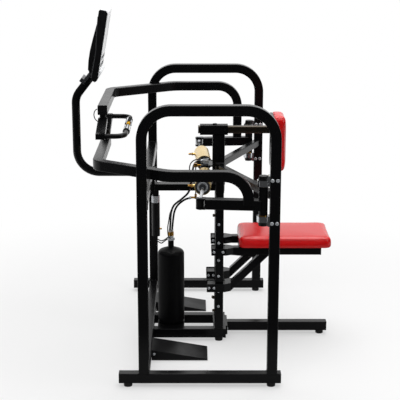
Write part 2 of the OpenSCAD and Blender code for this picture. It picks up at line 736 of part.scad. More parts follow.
module handle() {
    bar = [[0, boss_top], [-18, boss_top], [-173, 15], [-199, 12], [-199, -17], [-165, -17],
        [-18, boss_top - boss_h], [0, boss_top - boss_h]];
    difference() {
        union() {
            translate([0, 0, boss_top - boss_h]) cylinder(h = boss_h, d = bar_w - 2);
            translate([-bar_w / 2, 0, 0]) rotate([90, 0, 90]) linear_extrude(bar_w) polygon(bar);
            translate([0, -185, -2]) along_x(bar_w / 2 - 4, grip_x - 57, grip_d);
            translate([grip_x - 57, -128, -2]) rotate([0, 0, -90]) rotate_extrude(angle = 90)
                translate([57, 0]) circle(d = grip_d);
            translate([grip_x, 0, -2]) along_y(-128, -58, grip_d);
        }
        translate([0, 0, boss_top - boss_h - 1]) cylinder(h = boss_h + 2, d = stub_d + 2 * running_gap);
    }
}
module button_housing() {
    translate([grip_x, 0, -2]) difference() {
        along_y(-58, 52, button_housing_d);
        along_y(44, 53, 24);
    }
}
module button() translate([grip_x, 0, -2]) along_y(48.5, button_tip, 23);
module on_far_handle() translate([arm_x, -swivel_y, handle_z]) children();
module on_near_handle() translate([arm_x, swivel_y, handle_z]) rotate([180, 0, 0]) children();
module near_handle() color(frame_colour) on_near_handle() handle();
module far_handle() color(frame_colour) on_far_handle() handle();
module near_button_housing() color(chrome) on_near_handle() button_housing();
module far_button_housing() color(chrome) on_far_handle() button_housing();
module near_button() color("#e0b020") on_near_handle() button();
module far_button() color("#303033") on_far_handle() button();

// Display post as a solid bar; the hollow inside reaches past both ends
module post_bar(d, past) {
    r = 120;
    bend_r = 100;
    bend_z = 1302;
    run = front_x - tube_w / 2 - display_x - r;
    translate([display_x + r, 0, crossbar_z]) rotate([90, 0, 90]) linear_extrude(run + past)
        polygon(ring(d));
    translate([display_x + r, 0, crossbar_z + r]) rotate([90, 0, 0]) rotate([0, 0, 180])
        rotate_extrude(angle = 90)
        translate([r, 0]) polygon(ring(d));
    translate([display_x, 0, crossbar_z + r]) linear_extrude(bend_z - crossbar_z - r) polygon(ring(d));
    translate([display_x + bend_r, 0, bend_z]) rotate([90, 0, 0]) rotate([0, 0, 180])
        rotate_extrude(angle = -display_bend) translate([bend_r, 0]) polygon(ring(d));
    on_tip() {
        linear_extrude(tip_len + past) polygon(ring(d));
        cylinder(h = 6, d = d + knuckle, center = true);
    }
}
module display_post() {
    color(frame_colour) difference() {
        post_bar(display_post_d, 0);
        post_bar(display_post_d - 2 * tube_wall, 1);
    }
}

module on_tip() translate([display_x + 100, 0, 1302]) rotate([0, display_bend, 0])
    translate([-100, 0, 0]) children();
module on_display() translate([display_x + 133, 0, 1466]) rotate([0, display_lean, 0]) children();
module display_clamp() {
    color("#3a3b3e") on_tip() difference() {
        union() {
            translate([-36, -66, 56]) cube([30, 132, 22]);
            for (y = [-66, 60]) translate([-19, y, 56]) cube([13, 6, 70]);
        }
        translate([0, 0, 40]) cylinder(h = 90, d = display_post_d);
    }
}
module display_housing() {
    slab = [[-33, -16], [-24, -32], [-12, -36], [-3, -28], [0, -10], [0, 322], [-6, 332], [-14, 336],
        [-40, 336], [-46, 330], [-46, 300], [-40, 220], [-30, 131]];
    bulge = [[-36, -8], [-20, 20], [-20, 131], [-30, 290], [-46, 290], [-50, 263], [-60, 180],
        [-66, 112], [-66, 60], [-62, 14], [-52, -2]];
    color(rubber) difference() {
        on_display() {
            translate([0, display_w / 2, 0]) rotate([90, 0, 0]) linear_extrude(display_w) polygon(slab);
            translate([0, 60, 0]) rotate([90, 0, 0]) linear_extrude(120) polygon(bulge);
        }
        on_tip() translate([0, 0, 40]) cylinder(h = tip_len - 40, d = display_post_d);
    }
}
module display_panel() {
    color("#e9eaec") on_display() difference() {
        translate([0, -display_w / 2 + 4, -8]) cube([2, display_w - 8, 326]);
        translate([-1, -display_w / 2 + 30, 130]) cube([4, display_w - 60, 160]);
    }
}
module display_screen() color("#1c2126") on_display() translate([0, -display_w / 2 + 30, 130])
    cube([1.5, display_w - 60, 160]);

module air_tank() {
    r = tank_d / 2;
    color(rubber) translate([front_x + 122, 0, rail_top]) rotate_extrude() polygon(concat(
        [[0, 0]],
        [for (a = [-90:15:0]) [r - 14 + 14 * cos(a), 14 + 14 * sin(a)]],
        [for (a = [0:15:75]) [r - 26 + 26 * cos(a), tank_top - rail_top - 26 + 26 * sin(a)]],
        [[16, tank_top - rail_top + 14], [16, tank_top - rail_top + 52], [0, tank_top - rail_top + 52]]
    ));
}
module valve_fittings() {
    color(zinc) {
        translate([front_x + 122, 0, tank_top + 52]) {
            cylinder(h = 12, d = 42, $fn = 6);
            translate([0, 0, 12]) cylinder(h = 14, d = 30);
        }
        translate([control_x, 0, 757]) cylinder(h = 37, d = control_d + 2);
        translate([tail_x - 11, -24, mount_high + mount_t]) cube([30, 48, 20]);
    }
}
module brass_fittings() {
    color(brass) {
        translate([front_x + 122, 0, tank_top + 78]) cylinder(h = 20, d = 32);
        translate([stem_x, stem_y, 0]) {
            translate([0, 0, mount_high - 6]) cylinder(h = 20, d = 20);
            translate([0, 0, mount_high + 4]) along_x(0, mount_left - stem_x, 9);
            translate([0, 0, 793]) along_x(-27, 0, 11);
            translate([0, 0, 786]) cylinder(h = 26, d = 13);
        }
        translate([control_x, -4, nipple_z]) along_x(control_d / 2 - 2, control_d / 2 + 10, nipple_d);
    }
}
module control_cylinder() {
    color(rubber) translate([control_x, 0, 0]) {
        difference() {
            translate([0, 0, 567]) cylinder(h = 190, d = control_d);
            translate([0, -4, nipple_z]) along_x(control_d / 2 - 2, control_d, nipple_d);
        }
        translate([-13, -14, 517]) cube([22, 28, 50]);
        translate([-15, -18, 794]) cube([32, 36, spine_z - spine_h / 2 - 794]);
    }
}
module air_hoses() {
    color(rubber) translate([front_x, 0, 0]) {
        for (route = hose_routes) hose(route, hose_d);
        for (route = thin_hose_routes) hose(route, thin_hose_d);
    }
}
module far_button_cable() color(rubber) translate([arm_x, 0, 0]) hose(cable_route, cable_d);

module fork(x0, z, h, back, tip) {
    outer = fork_gap / 2 + fork_t;
    neck = post_w / 2;
    nose = 4;
    translate([post_x, -beam_y, z]) difference() {
        translate([0, 0, -h / 2]) linear_extrude(h)
            polygon([[x0, -outer + nose], [x0 + nose, -outer], [back, -outer], [tip, -neck], [tip, neck],
                [back, outer], [x0 + nose, outer], [x0, outer - nose]]);
        translate([x0 - 1, -fork_gap / 2, -h]) cube([fork_back - x0 + 1, fork_gap, 2 * h]);
    }
}
module seat_forks() {
    color(frame_colour) both_sides() {
        fork(-44, seat_arm_z, fork_h, 36, 74);
        fork(-68, low_fork_z, low_fork_h, 27, 63);
    }
}
module glide(x0, len, z, h) translate([post_x + x0, -beam_y - fork_gap / 2, z - h / 2])
    cube([len, fork_gap, h]);
module seat_glides() {
    gap = post_w / 2 + 0.4;
    color(rubber) both_sides() {
        glide(-gap - 16, 16, seat_arm_z, 32);
        glide(gap, fork_back - gap, seat_arm_z, 32);
        glide(-gap - 40, 40, low_fork_z, 38);
        glide(gap, fork_back - gap, low_fork_z, 38);
    }
}
module seat_bolts() {
    spots = [[-30, seat_arm_z], [19, seat_arm_z], [-56, low_fork_z], [-29, low_fork_z]];
    outside = fork_gap / 2 + fork_t;
    color(zinc) both_sides() for (p = spots) translate([post_x + p[0], -beam_y, p[1]]) {
        translate([0, -outside, 0]) rotate([90, 0, 0]) button_head(15, 5);
        translate([0, outside, 0]) rotate([-90, 0, 0]) button_head(15, 5);
    }
}
module seat_arms() {
    arm_start = post_x + 74;
    tie_x = 52;
    arm_end = front_x + 931;
    low = seat_arm_z - seat_arm_h / 2;
    color(frame_colour) {
        both_sides() {
            tube_x(arm_start, arm_end, -beam_y, seat_arm_z, post_w, seat_arm_h);
            translate([arm_end, -beam_y - post_w / 2, low]) cube([4, post_w, seat_arm_h]);
            intersection() {
                translate([post_x + 54, -beam_y, low_fork_z - 4]) rotate([0, -44.5, 0])
                    tube_x(-30, 330, 0, 0, brace_w, brace_w);
                translate([post_x + 63, -beam_y - post_w, low_fork_z - 60])
                    cube([300, 2 * post_w, low - low_fork_z + 60]);
            }
        }
        tube_y(-beam_y + post_w / 2, beam_y - post_w / 2, arm_start + tie_x, seat_arm_z, 40, 38);
        for (s = [-1, 1]) translate([0, s * 11 + 3, 0]) rotate([90, 0, 0]) linear_extrude(6)
            difference() {
            polygon([[arm_start + tie_x - 19, seat_arm_z - 19], [arm_start + tie_x + 19, seat_arm_z - 19],
                [lever_pivot[0] + 10, lever_pivot[1] - 14], [lever_pivot[0] - 14, lever_pivot[1] - 10]]);
            translate(lever_pivot) circle(d = 10);
        }
    }
}
module brake_lever() {
    shoe = post_x + 10.4;
    color("#303033") {
        translate([lever_pivot[0], 0, lever_pivot[1]]) along_y(-14, 14, 10 - 2 * running_gap);
        translate([0, 7, 0]) rotate([90, 0, 0]) linear_extrude(14) {
            translate(lever_pivot) circle(d = 22);
            polygon([[shoe, lever_pivot[1] + 30], [shoe, lever_pivot[1] - 2], lever_pivot + [0, -11],
                lever_pivot + [4, 10]]);
            polygon([lever_pivot + [0, -11], lever_pivot + [125, -22], lever_pivot + [125, -10],
                lever_pivot + [0, 8]]);
        }
        translate([lever_pivot[0] + 123, 0, lever_pivot[1] - 16]) along_x(0, 60, 22);
    }
}
module seat_plate() {
    color(frame_colour) translate([front_x + 507, -seat_w / 2 + 30, seat_arm_z + seat_arm_h / 2])
        cube([430, seat_w - 60, seat_plate_t]);
}
module seat_pad() {
    color(red_vinyl)
        translate([front_x + 490 + seat_len / 2, 0, seat_arm_z + seat_arm_h / 2 + seat_plate_t])
            cushion(seat_len, seat_w, seat_t, 5);
}

module chest_slide() {
    color("#3c3a38") {
        tube_x(slide_x0, slide_x0 + slide_len, 0, sleeve_z, slide_w, slide_w);
        translate([slide_x0, 0, sleeve_z]) rotate([90, 0, 90]) linear_extrude(4)
            polygon(round_rect(slide_w - 2, slide_w - 2, 3));
    }
}
module chest_board() {
    color(frame_colour)
        translate([slide_x0 + slide_len, -chest_w / 2 + 10, chest_z - chest_h / 2 + 10])
            cube([board_t, chest_w - 20, chest_h - 20]);
}
module chest_pad() {
    color(red_vinyl) translate([slide_x0 + slide_len + board_t, 0, chest_z]) rotate([0, 90, 0])
        cushion(chest_h, chest_w, chest_t, 5);
}
module chest_knob() {
    color(rubber) translate([sleeve_x0 + 80, 0, sleeve_z]) {
        translate([0, 0, slide_w / 2 + 0.6]) cylinder(h = sleeve_w / 2 - slide_w / 2, d = 10);
        translate([0, 0, sleeve_w / 2 + 0.4]) cylinder(h = 5, d1 = 26, d2 = 22);
    }
}

base_rails();
near_hoop();
far_hoop();
front_crossbars();
floor_beams();
rear_stabiliser();
frame_bolts();
floor_feet();
tube_caps();
seat_posts();
brake_bar();
upper_spine();
chest_column();
brace_struts();
foot_plates();
pivot_brackets();
pivot_shafts();
display_post();
display_clamp();
display_housing();
display_screen();
display_panel();
air_tank();
valve_fittings();
brass_fittings();
control_cylinder();
cylinder_mount();
air_hoses();
near_arm();
near_bushes();
near_arm_cap();
near_lever_pin();
far_arm();
far_bushes();
far_arm_cap();
far_lever_pin();
near_rod();
near_barrel();
near_barrel_caps();
far_rod();
far_barrel();
far_barrel_caps();
near_handle();
near_button_housing();
near_button();
far_handle();
far_button_housing();
far_button();
far_button_cable();
seat_pad();
seat_plate();
seat_arms();
seat_forks();
seat_glides();
seat_bolts();
brake_lever();
chest_slide();
chest_board();
chest_pad();
chest_knob();
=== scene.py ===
import json
import math

import bmesh
import bpy
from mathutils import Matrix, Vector
from mathutils.bvhtree import BVHTree


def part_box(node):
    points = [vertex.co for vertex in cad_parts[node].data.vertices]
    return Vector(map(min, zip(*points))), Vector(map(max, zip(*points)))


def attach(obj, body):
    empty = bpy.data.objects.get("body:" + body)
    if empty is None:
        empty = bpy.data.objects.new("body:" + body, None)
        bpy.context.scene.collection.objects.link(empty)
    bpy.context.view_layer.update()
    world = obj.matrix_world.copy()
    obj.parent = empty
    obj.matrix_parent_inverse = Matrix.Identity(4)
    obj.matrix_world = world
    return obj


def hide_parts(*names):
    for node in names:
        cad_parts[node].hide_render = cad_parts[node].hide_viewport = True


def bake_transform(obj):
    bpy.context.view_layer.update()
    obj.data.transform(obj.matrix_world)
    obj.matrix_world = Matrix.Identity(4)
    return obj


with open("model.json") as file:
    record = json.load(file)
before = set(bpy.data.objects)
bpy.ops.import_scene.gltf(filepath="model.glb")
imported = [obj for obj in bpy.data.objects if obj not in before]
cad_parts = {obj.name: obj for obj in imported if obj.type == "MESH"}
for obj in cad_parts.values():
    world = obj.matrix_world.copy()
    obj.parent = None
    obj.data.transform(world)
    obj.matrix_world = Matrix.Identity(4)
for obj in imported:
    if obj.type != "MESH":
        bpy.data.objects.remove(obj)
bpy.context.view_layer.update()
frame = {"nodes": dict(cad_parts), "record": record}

scene = bpy.context.scene
scene.view_settings.view_transform = "Standard"
nodes = frame["nodes"]
mm = 0.001

# Places on the frame, in mm: X to the rear, Y away from the camera, Z up
frameLook = {
    "frontX": -293, "rearX": 343, "sideY": 721, "tube": 50.8, "railZ": 45.9, "railTop": 71.3,
    "crossbarZ": 925, "postX": 93, "postY": 110, "postWidth": 44.5, "columnX": 88,
    "spineX": -255.6, "spineZ": 846.5, "spineTop": 865, "spineSize": (64, 37),
}

cameraLook = {
    "place": (-46.2, -5839.2, 2290.4),  # mm, in front of the near frame
    "down": 14.61,  # degrees below level
    "lens": 99.64,
    "sensor": 36.0,
    "shiftX": 0.016,
}
cameraData = bpy.data.cameras.new("photoCamera")
cameraData.lens = cameraLook["lens"]
cameraData.sensor_width = cameraLook["sensor"]
cameraData.shift_x = cameraLook["shiftX"]
cameraData.clip_end = 60.0
camera = bpy.data.objects.new("photoCamera", cameraData)
camera.location = Vector(cameraLook["place"]) * mm
camera.rotation_euler = (math.radians(90 - cameraLook["down"]), 0, 0)
scene.collection.objects.link(camera)
scene.camera = camera
print("camera set")


def hexColour(code):
    parts = [int(code[i:i + 2], 16) / 255 for i in (1, 3, 5)]
    return [p / 12.92 if p <= 0.04045 else ((p + 0.055) / 1.055) ** 2.4 for p in parts] + [1.0]


def addNode(tree, kind, inputs=None, **settings):
    node = tree.nodes.new(kind)
    for name, value in settings.items():
        setattr(node, name, value)
    for key, value in (inputs or {}).items():
        if isinstance(value, bpy.types.NodeSocket):
            tree.links.new(value, node.inputs[key])
        else:
            node.inputs[key].default_value = value
    return node


def perSize(size):  # texture scale for a pattern of this size in mm
    return 1 / (size * mm)


def addPiece(name, mesh):
    piece = bpy.data.objects.new(name, mesh)
    scene.collection.objects.link(piece)
    return piece


def keepResult(piece):  # modifiers become a plain mesh
    bpy.context.view_layer.update()
    graph = bpy.context.evaluated_depsgraph_get()
    mesh = bpy.data.meshes.new_from_object(piece.evaluated_get(graph))
    piece.modifiers.clear()
    spent = piece.data
    piece.data = mesh
    bpy.data.meshes.remove(spent)
    mesh.name = piece.name
    return piece


def smoothFaces(piece, angle=35):
    piece.data.shade_smooth()
    piece.data.set_sharp_from_angle(angle=math.radians(angle))


# Every finish starts from the real material; grain sizes and depths are in mm
finishes = {
    "black_powder_coat": {  # sprayed and baked: deep black, a soft sheen, faint orange peel
        "name": "blackPowderCoat", "colours": ("#070708", "#0b0b0c"), "roughness": (0.22, 0.27),
        "patch": 120, "grain": 2.4, "depth": 0.005, "specular": 0.18,
    },
    "foot_plate_coat": {  # gritty non-slip powder coat, duller than the tubes
        "name": "gritPowderCoat", "colours": ("#070708", "#0f0f10"), "roughness": (0.34, 0.46),
        "patch": 90, "grain": 1.6, "depth": 0.15, "specular": 0.2,
    },
    "zinc": {  # passivated zinc plate: pale and cloudy, so it looks light from every side
        "name": "zincPlate", "colours": ("#d3d6d9", "#bfc3c8"), "roughness": (0.2, 0.34),
        "patch": 6, "grain": 1.2, "depth": 0.01, "metallic": 0.6,
    },
    "bare_steel": {  # drawn bar, browned by oil
        "name": "drawnSteel", "colours": ("#4a443c", "#5a5247"), "roughness": (0.3, 0.42),
        "patch": 14, "grain": 1.5, "depth": 0.02, "metallic": 1.0, "stretch": (0.05, 1, 1),
    },
    "cast_aluminium": {  # tumbled casting: pale grey, bright where it faces the light
        "name": "castAluminium", "colours": ("#d9dbde", "#c4c7cb"), "roughness": (0.12, 0.2),
        "patch": 18, "grain": 1.4, "depth": 0.04, "metallic": 1.0,
    },
    "black_steel": {  # oiled black oxide, almost matt
        "name": "blackOxideSteel", "colours": ("#070707", "#0e0e0f"), "roughness": (0.3, 0.42),
        "patch": 20, "grain": 1.5, "depth": 0.02, "specular": 0.3,
    },
    "black_rubber": {  # extruded rubber: deep black with a wet shine
        "name": "blackRubber", "colours": ("#060606", "#0b0b0c"), "roughness": (0.24, 0.34),
        "patch": 25, "grain": 1.0, "depth": 0.015, "specular": 0.45,
    },
    "black_plastic": {  # moulded plastic with a fine spark-eroded grain
        "name": "mouldedPlastic", "colours": ("#08080a", "#0e0e0f"), "roughness": (0.3, 0.4),
        "patch": 40, "grain": 1.1, "depth": 0.03, "specular": 0.25,
    },
    "tank_paint": {  # flat black spray paint on steel
        "name": "flatBlackPaint", "colours": ("#050506", "#09090a"), "roughness": (0.36, 0.44),
        "patch": 60, "grain": 1.8, "depth": 0.02, "specular": 0.1,
    },
    "brass": {  # machined brass, slightly tarnished
        "name": "machinedBrass", "colours": ("#c99a45", "#a5762c"), "roughness": (0.2, 0.32),
        "patch": 12, "grain": 1.2, "depth": 0.015, "metallic": 1.0,
    },
    "chrome": {  # hard chrome: a mirror with hair-fine polish marks
        "name": "hardChrome", "colours": ("#dcdee1", "#cfd2d6"), "roughness": (0.05, 0.1),
        "patch": 30, "grain": 0.8, "depth": 0.003, "metallic": 1.0,
    },
    "gold_anodised": {  # clear pale-gold anodising over fine turning marks
        "name": "goldAnodised", "colours": ("#ecd08c", "#e3c176"), "roughness": (0.22, 0.28),
        "patch": 160, "grain": 1.0, "depth": 0.002, "metallic": 0.85,
    },
    "grey_anodised": {  # dark hard anodising
        "name": "greyAnodised", "colours": ("#4b4c4f", "#58595c"), "roughness": (0.28, 0.36),
        "patch": 40, "grain": 1.0, "depth": 0.008, "metallic": 0.8,
    },
    "red_vinyl": {  # coated upholstery vinyl: saturated red, satin, fine grain
        "name": "redVinyl", "colours": ("#cc0409", "#c60408"), "roughness": (0.22, 0.26),
        "patch": 120, "grain": 1.4, "depth": 0.004, "specular": 0.5,
    },
    "pale_panel": {  # printed polycarbonate overlay: pale and glossy
        "name": "paleOverlay", "colours": ("#eceef0", "#e6e8ea"), "roughness": (0.2, 0.26),
        "patch": 160, "grain": 1.0, "depth": 0.001, "specular": 0.5,
    },
    "screen_glass": {  # dark glass over an unlit screen
        "name": "screenGlass", "colours": ("#15181b", "#1b1f23"), "roughness": (0.05, 0.09),
        "patch": 80, "grain": 2.0, "depth": 0.003, "specular": 0.5,
    },
    "yellow_plastic": {  # glossy moulded yellow
        "name": "yellowPlastic", "colours": ("#e9b01c", "#dfa418"), "roughness": (0.24, 0.32),
        "patch": 40, "grain": 1.0, "depth": 0.006, "specular": 0.5,
    },
}


def makeFinish(look):
    material = bpy.data.materials.new(look["name"])
    material.use_nodes = True
    tree = material.node_tree
    tree.nodes.clear()
    place = addNode(tree, "ShaderNodeTexCoord").outputs["Object"]
    if "stretch" in look:  # drawing lines run along the bar
        place = addNode(tree, "ShaderNodeMapping", {"Vector": place, "Scale": look["stretch"]}).outputs[0]
    patch = addNode(tree, "ShaderNodeTexNoise",
                    {"Vector": place, "Scale": perSize(look["patch"]), "Detail": 3.0}).outputs["Fac"]
    first, second = (hexColour(code) for code in look["colours"])
    colour = addNode(tree, "ShaderNodeMix", {0: patch, 6: first, 7: second}, data_type="RGBA").outputs[2]
    low, high = look["roughness"]
    rough = addNode(tree, "ShaderNodeMapRange",
                    {"Value": patch, 1: 0.3, 2: 0.7, 3: low, 4: high}).outputs[0]
    grain = addNode(tree, "ShaderNodeTexNoise",
                    {"Vector": place, "Scale": perSize(look["grain"]), "Detail": 2.0}).outputs["Fac"]
    bump = addNode(tree, "ShaderNodeBump",
                   {"Height": grain, "Strength": 0.8, "Distance": look["depth"] * mm}).outputs[0]
    shader = addNode(tree, "ShaderNodeBsdfPrincipled", {
        "Base Color": colour, "Roughness": rough, "Normal": bump,
        "Metallic": look.get("metallic", 0.0), "Specular IOR Level": look.get("specular", 0.5)})
    addNode(tree, "ShaderNodeOutputMaterial", {"Surface": shader.outputs[0]})
    return material


materials = {slot: makeFinish(look) for slot, look in finishes.items()}
print("finishes mixed:", len(materials))


# Geometry node trees: a bead swept along a path, and heads set on points
def newTree(name, inputs):
    tree = bpy.data.node_groups.new(name, "GeometryNodeTree")
    tree.interface.new_socket("Geometry", in_out="INPUT", socket_type="NodeSocketGeometry")
    for label, kind in inputs.items():
        tree.interface.new_socket(label, in_out="INPUT", socket_type="NodeSocket" + kind)
    tree.interface.new_socket("Geometry", in_out="OUTPUT", socket_type="NodeSocketGeometry")
    return tree, addNode(tree, "NodeGroupInput").outputs


def endTree(tree, shape, material):
    whole = addNode(tree, "GeometryNodeRealizeInstances", {"Geometry": shape})
    dressed = addNode(tree, "GeometryNodeSetMaterial", {"Geometry": whole.outputs[0], "Material": material})
    addNode(tree, "NodeGroupOutput", {"Geometry": dressed.outputs[0]})
    return tree


def makeBeadTree():
    tree, given = newTree("beadAlongPath", {
        "Radius": "Float", "Pitch": "Float", "Ripple": "Float", "Sides": "Int", "Material": "Material"})
    curve = addNode(tree, "GeometryNodeMeshToCurve", {"Mesh": given["Geometry"]})
    fine = addNode(tree, "GeometryNodeResampleCurve",
                   {"Curve": curve.outputs[0], "Length": given["Pitch"]}, mode="LENGTH")
    beat = addNode(tree, "ShaderNodeMath",
                   {0: addNode(tree, "GeometryNodeInputIndex").outputs[0], 1: 2.0}, operation="MODULO")
    swell = addNode(tree, "ShaderNodeMath",
                    {0: beat.outputs[0], 1: given["Ripple"], 2: 1.0}, operation="MULTIPLY_ADD")
    profile = addNode(tree, "GeometryNodeCurvePrimitiveCircle",
                      {"Resolution": given["Sides"], "Radius": given["Radius"]})
    tube = addNode(tree, "GeometryNodeCurveToMesh", {
        "Curve": fine.outputs[0], "Profile Curve": profile.outputs[0],
        "Scale": swell.outputs[0], "Fill Caps": True})
    return endTree(tree, tube.outputs[0], given["Material"])


def makeHeadTree():
    tree, given = newTree("headsOnPoints", {"Head": "Object", "Material": "Material"})
    head = addNode(tree, "GeometryNodeObjectInfo", {"Object": given["Head"]})
    turn = addNode(tree, "GeometryNodeInputNamedAttribute", {"Name": "turn"}, data_type="FLOAT_VECTOR")
    size = addNode(tree, "GeometryNodeInputNamedAttribute", {"Name": "size"}, data_type="FLOAT")
    spin = addNode(tree, "FunctionNodeEulerToRotation", {0: turn.outputs[0]})
    heads = addNode(tree, "GeometryNodeInstanceOnPoints", {
        "Points": given["Geometry"], "Instance": head.outputs["Geometry"],
        "Rotation": spin.outputs[0], "Scale": size.outputs[0]})
    return endTree(tree, heads.outputs[0], given["Material"])


def runTree(piece, tree, values):
    modifier = piece.modifiers.new(tree.name, "NODES")
    modifier.node_group = tree
    for item in tree.interface.items_tree:
        if item.in_out == "INPUT" and item.name in values:
            modifier[item.identifier] = values[item.name]
    return keepResult(piece)


beadTree = makeBeadTree()
headTree = makeHeadTree()


def sweepPiece(name, paths, radius, pitch, slot, ripple=0.0, sides=12, closed=False):
    points, edges = [], []
    for path in paths:
        start, count = len(points), len(path)
        points += [Vector(p) * mm for p in path]
        edges += [(start + i, start + (i + 1) % count) for i in range(count if closed else count - 1)]
    mesh = bpy.data.meshes.new(name)
    mesh.from_pydata(points, edges, [])
    piece = runTree(addPiece(name, mesh), beadTree, {
        "Radius": radius * mm, "Pitch": pitch * mm, "Ripple": ripple, "Sides": sides,
        "Material": materials[slot]})
    smoothFaces(piece, 60)
    return piece


def smoothRoute(points, steps=8):  # a curve through the points, in mm
    line = [Vector(p) for p in points]
    ends = [2 * line[0] - line[1]] + line + [2 * line[-1] - line[-2]]
    route = []
    for a, b, c, d in zip(ends, ends[1:], ends[2:], ends[3:]):
        for k in range(steps):
            t = k / steps
            route.append(0.5 * (2 * b + (c - a) * t + (2 * a - 5 * b + 4 * c - d) * t ** 2
                                + (3 * b - a - 3 * c + d) * t ** 3))
    return route + [line[-1]]


# Air hoses, each from fitting to fitting; X runs from the front uprights
hoseWidths = {"thick": 11, "thin": 6}
hoseRoutes = {
    "tankBlockHose": ("thick", [
        (116, -6, 588), (120, -14, 640), (124, -26, 700), (140, -40, 748), (180, -50, 785), (217, -53, 822),
        (233, -53, 870), (240, -46, 925), (247, -16, 962), (265, 6, 982), (298, 12, 986)]),
    "tankElbowHose": ("thick", [
        (128, 6, 588), (134, 2, 650), (142, -10, 705), (160, -26, 745), (195, -38, 778), (232, -40, 793)]),
    "valveColumnHose": ("thin", [
        (118, -13, 561), (114, -25, 563), (109, -33, 573), (106, -35, 592), (106, -33, 625), (112, -36, 662),
        (119, -44, 705), (139, -56, 750), (179, -64, 785), (217, -67, 822), (229, -64, 870), (227, -46, 925),
        (225, -33, 957), (233, -30, 982), (251, -30, 997), (275, -30, 1003), (301, -30, 1004),
        (323, -30, 1003), (337, -29, 999), (349, -28, 994)]),
    "stemHose": ("thin", [(258, -40, 811), (258, -41, 860), (258, -41, 910), (258, -40, 963)]),
    "upperSignalHose": ("thin", [(49, -7, 548), (69, -14, 541), (87, -12, 546), (109, -4, 560)]),
    "lowerSignalHose": ("thin", [(49, 7, 532), (69, 4, 522), (87, 4, 534), (109, 6, 549)]),
}


for name, (size, points) in hoseRoutes.items():
    route = smoothRoute([(x + frameLook["frontX"], y, z) for x, y, z in points])
    width = hoseWidths[size]
    hose = sweepPiece(name, [route], width / 2, 3, "black_rubber", sides=16)
    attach(hose, "frame")
    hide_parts("air_hoses")

cableLook = {
    "armX": -523.5,
    "width": 5,
    "points": [(-29, -92, 1286), (-36.5, -93, 1282), (-43.5, -94, 1272), (-46.5, -96, 1258),
               (-44.5, -98, 1244), (-38.5, -99, 1232), (-30.5, -100, 1224), (-21.5, -100, 1220)],
}
cableRoute = smoothRoute([(x + cableLook["armX"], y, z) for x, y, z in cableLook["points"]])
cable = sweepPiece("buttonCable", [cableRoute], cableLook["width"] / 2, 2, "black_rubber")
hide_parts("far_button_cable")
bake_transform(cable)
print("hoses and cable laid")

# The studio: white paper, light from above and behind, a dark room in front; sizes in metres
studioLook = {
    "floorWide": 7.0,
    "floorFront": -7.0,
    "floorEdge": -1.3,
    "floorBack": 7.0,
    "floorColour": "#a8a8a8",
    "floorGlow": 0.46,  # lifts the open paper to white where it is seen
    "fade": (1.0, 2.6),  # the paper curves up out of the shadow between these distances
    "skyTop": 0.85,
    "skyBack": 0.9,
    "skyFront": 0.06,
    "topSpan": (0.35, 0.8),  # the top takes over between these heights of a ray's direction
    "backSpan": (0.45, 0.95),  # and the back between these depths
}


def seenBackdrop(tree, behind):  # 1 for rays that show the backdrop, straight, through glass or in metal
    path = addNode(tree, "ShaderNodeLightPath").outputs
    straight = addNode(tree, "ShaderNodeMath", {0: path["Is Camera Ray"], 1: path["Is Transmission Ray"]},
                       operation="MAXIMUM")
    mirrored = addNode(tree, "ShaderNodeMath", {0: path["Is Glossy Ray"], 1: behind}, operation="MULTIPLY")
    return addNode(tree, "ShaderNodeMath", {0: straight.outputs[0], 1: mirrored.outputs[0]},
                   operation="MAXIMUM").outputs[0]


def smoothStep(tree, value, span):
    return addNode(tree, "ShaderNodeMapRange", {"Value": value, 1: span[0], 2: span[1], 3: 0.0, 4: 1.0},
                   interpolation_type="SMOOTHSTEP").outputs[0]


world = bpy.data.worlds.new("studio")
scene.world = world
world.use_nodes = True
sky = world.node_tree
sky.nodes.clear()
direction = addNode(sky, "ShaderNodeSeparateXYZ",
                    {0: addNode(sky, "ShaderNodeTexCoord").outputs["Generated"]}).outputs
behind = smoothStep(sky, direction["Y"], studioLook["backSpan"])
above = smoothStep(sky, direction["Z"], studioLook["topSpan"])
level = addNode(sky, "ShaderNodeMix",
                {0: behind, 2: studioLook["skyFront"], 3: studioLook["skyBack"]}).outputs[0]
level = addNode(sky, "ShaderNodeMix", {0: above, 2: level, 3: studioLook["skyTop"]}).outputs[0]
room = addNode(sky, "ShaderNodeBackground", {"Color": hexColour("#ffffff"), "Strength": level})
white = addNode(sky, "ShaderNodeBackground", {"Color": hexColour("#ffffff"), "Strength": 1.0})
mixed = addNode(sky, "ShaderNodeMixShader",
                {0: seenBackdrop(sky, behind), 1: room.outputs[0], 2: white.outputs[0]})
addNode(sky, "ShaderNodeOutputWorld", {"Surface": mixed.outputs[0]})

floorPaint = bpy.data.materials.new("paperSweep")  # matt white paper
floorPaint.use_nodes = True
paper = floorPaint.node_tree
paper.nodes.clear()
matt = addNode(paper, "ShaderNodeBsdfDiffuse", {"Color": hexColour(studioLook["floorColour"])})
glow = addNode(paper, "ShaderNodeEmission",
               {"Color": hexColour("#ffffff"), "Strength": studioLook["floorGlow"]})
lifted = addNode(paper, "ShaderNodeAddShader", {0: matt.outputs[0], 1: glow.outputs[0]})
reach = addNode(paper, "ShaderNodeVectorMath", {0: addNode(paper, "ShaderNodeTexCoord").outputs["Object"]},
                operation="LENGTH").outputs["Value"]
fade = smoothStep(paper, reach, studioLook["fade"])
sweep = addNode(paper, "ShaderNodeEmission", {"Color": hexColour("#ffffff"), "Strength": 1.0})
shown = addNode(paper, "ShaderNodeMixShader", {0: fade, 1: lifted.outputs[0], 2: sweep.outputs[0]})
paperMix = addNode(paper, "ShaderNodeMixShader",
                   {0: seenBackdrop(paper, fade), 1: matt.outputs[0], 2: shown.outputs[0]})
addNode(paper, "ShaderNodeOutputMaterial", {"Surface": paperMix.outputs[0]})
wide, edge = studioLook["floorWide"], studioLook["floorEdge"]
